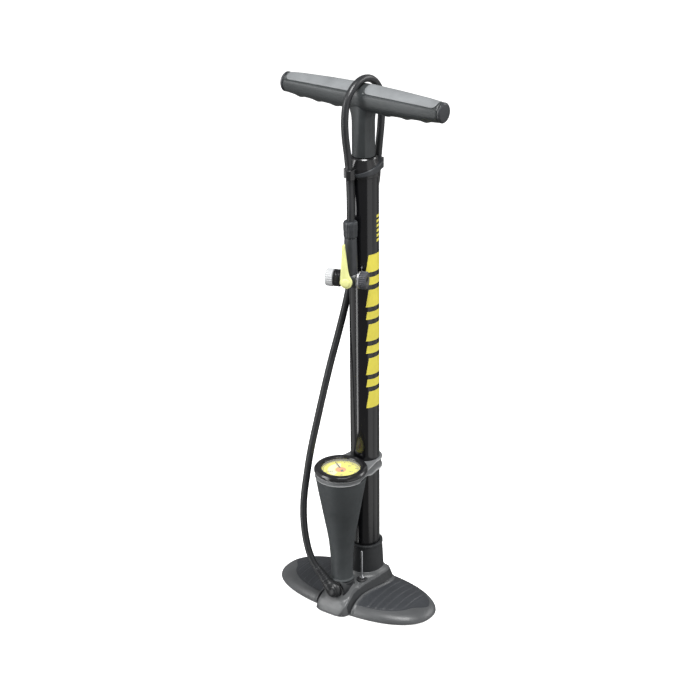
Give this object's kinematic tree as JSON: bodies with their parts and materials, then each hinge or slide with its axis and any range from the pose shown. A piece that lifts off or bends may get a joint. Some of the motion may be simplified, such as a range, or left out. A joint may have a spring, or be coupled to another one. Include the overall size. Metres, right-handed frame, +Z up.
{
  "type": "floor bicycle pump",
  "caption": "Floor bicycle pump with a T-handle plunger, winged foot, dial gauge on a tapered tower, and a stowed hose with a lever chuck.",
  "frame": {"origin": "centre of the middle foot pad's underside, on the barrel's axis at floor level", "axes": "+Z up along the barrel, +X along the handle and the wings of the foot, -Y towards the gauge tower"},
  "size_m": [0.224, 0.1241, 0.6744],
  "materials": {
    "foot_plastic": "satin moulded",
    "rubber": "matte",
    "barrel_paint": "gloss",
    "black_plastic": "gloss",
    "steel": "polished",
    "chrome": "polished",
    "brass": "machined",
    "handle_plastic": "satin moulded",
    "handle_cover": "soft touch",
    "tower_plastic": "matte moulded",
    "bracket_plastic": "satin moulded",
    "dial": "printed card",
    "lens": "clear",
    "pointer": "matte",
    "lever_plastic": "lime",
    "pale_plastic": "knurled",
    "nut_grey": "knurled",
    "hose_rubber": "satin"
  },
  "bodies": {
    "root": {"base_body": "foot_plastic", "foot_pad_front_left": "rubber", "foot_pad_front_right": "rubber", "foot_pad_rear_left": "rubber", "foot_pad_rear_right": "rubber", "foot_pad_centre": "rubber", "barrel": "barrel_paint", "barrel_foot_plug": "black_plastic", "barrel_foot_seal": "rubber", "check_valve_spring": "steel", "air_gallery_tube": "brass", "top_cap": "black_plastic", "rod_guide_bush": "bracket_plastic", "rod_bumper": "rubber", "gauge_tower": "tower_plastic", "gauge_pipe": "brass", "gauge_bracket": "bracket_plastic", "bracket_screw": "steel", "gauge_case": "black_plastic", "gauge_bezel": "black_plastic", "gauge_lens": "lens", "gauge_dial": "dial", "gauge_union_nut": "brass", "bourdon_tube": "brass", "swivel_seal": "rubber", "hose_swivel": "black_plastic", "swivel_bolt": "black_plastic", "hose_strain_relief": "hose_rubber", "hose": "hose_rubber", "chuck_body": "black_plastic", "chuck_collar": "black_plastic", "port_ring_left": "nut_grey", "port_nut_left": "pale_plastic", "port_gasket_left": "rubber", "port_ring_right": "chrome", "port_nut_right": "nut_grey", "port_gasket_right": "rubber", "lever_pin": "lever_plastic", "needle_grommet": "rubber"},
    "plunger": {"piston_rod": "chrome", "piston_body": "black_plastic", "piston_cup_seal": "rubber", "piston_nut": "steel"},
    "handle": {"handle_body": "handle_plastic", "handle_cover_left": "handle_cover", "handle_cover_right": "handle_cover", "handle_hub_plug": "handle_plastic", "handle_end_cap_left": "handle_plastic", "handle_end_cap_right": "handle_plastic", "handle_washer": "steel", "handle_bolt": "steel"},
    "check_valve": {"check_valve_disc": "rubber"},
    "gauge_pointer": {"gauge_pointer": "pointer"},
    "gauge_sector": {"gauge_sector_gear": "brass"},
    "lever": {"chuck_lever": "lever_plastic"},
    "shuttle": {"chuck_shuttle": "brass"},
    "ball_needle": {"ball_needle": "chrome"}
  },
  "joints": [
    {"name": "plunger_slide", "type": "slide", "parent": "root", "child": "plunger", "axis": [0, 0, 1], "range_m": [0, 0.5], "deforming": ["hose"]},
    {"name": "handle_turn", "type": "hinge", "parent": "plunger", "child": "handle", "pos_m": [0, 0, 0.6493], "axis": [0, 0, 1], "range_deg": [-38, 38]},
    {"name": "check_valve_slide", "type": "slide", "parent": "root", "child": "check_valve", "axis": [0, 0, -1], "range_m": [0, 0.002], "stiffness_N_per_m": 60, "springref_m": -0.003, "deforming": ["check_valve_spring"]},
    {"name": "gauge_sector_turn", "type": "hinge", "parent": "root", "child": "gauge_sector", "pos_m": [-0.0149, -0.0512, 0.1794], "axis": [0, 0, 1], "range_deg": [0, 58.5], "stiffness_Nm_per_rad": 0.001, "springref_deg": -5.73},
    {"name": "gauge_pointer_turn", "type": "hinge", "parent": "root", "child": "gauge_pointer", "pos_m": [0, -0.0512, 0.189], "axis": [0, 0, -1], "range_deg": [-2, 272]},
    {"name": "chuck_lever_turn", "type": "hinge", "parent": "root", "child": "lever", "pos_m": [0.00012, -0.03068, 0.4355], "axis": [0.342, -0.9397, 0], "range_deg": [-90, 90]},
    {"name": "chuck_shuttle_slide", "type": "slide", "parent": "root", "child": "shuttle", "axis": [-0.9397, -0.342, 0], "range_m": [-0.00094, 0.00094]},
    {"name": "ball_needle_lift", "type": "slide", "parent": "root", "child": "ball_needle", "axis": [0, 0, 1], "range_m": [0, 0.06]}
  ],
  "couplings": [
    {"joint": "gauge_pointer_turn", "follows": "gauge_sector_turn", "ratio": 4.6154},
    {"joint": "chuck_lever_turn", "follows": "chuck_shuttle_slide", "rad_per_m": 1666.7}
  ]
}
